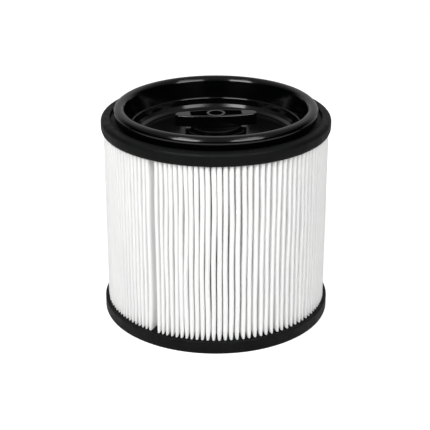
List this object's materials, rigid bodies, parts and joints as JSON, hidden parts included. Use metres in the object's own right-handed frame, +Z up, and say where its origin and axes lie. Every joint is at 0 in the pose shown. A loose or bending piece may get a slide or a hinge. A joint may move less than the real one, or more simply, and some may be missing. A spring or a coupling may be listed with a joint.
{
  "type": "vacuum cartridge filter",
  "caption": "Pleated round cartridge filter for a wet and dry vacuum, open at its foot, with a plug-in bowl lid and a wing knob that turns a locking bar.",
  "frame": {"origin": "centre of the lower ring's foot, on the surface that the cartridge stands on", "axes": "+Z up the cartridge's axis towards the lid; the pictured front faces -Y, with +X to its right"},
  "size_m": [0.1738, 0.1738, 0.1639],
  "materials": {
    "filter_felt": "soft white pleated felt",
    "ring_rubber": "satin black moulded polyurethane",
    "lid_plastic": "glossy black moulded plastic",
    "knob_plastic": "satin to gloss black moulded plastic",
    "core_plastic": "matte black moulded plastic",
    "washer_plastic": "natural nylon",
    "screw_steel": "zinc-plated steel"
  },
  "bodies": {
    "cartridge": {"pleated_media": "filter_felt", "support_core": "core_plastic", "top_end_ring": "ring_rubber", "bottom_end_ring": "ring_rubber", "lid": "lid_plastic"},
    "knob": {"locking_knob": "knob_plastic", "thrust_washer": "washer_plastic", "locking_bar": "core_plastic", "knob_screw": "screw_steel"}
  },
  "joints": [
    {"name": "knob_turn", "type": "hinge", "parent": "cartridge", "child": "knob", "pos_m": [0, 0, 0.14], "axis": [0, 0, 1], "range_deg": [0, 90]}
  ]
}
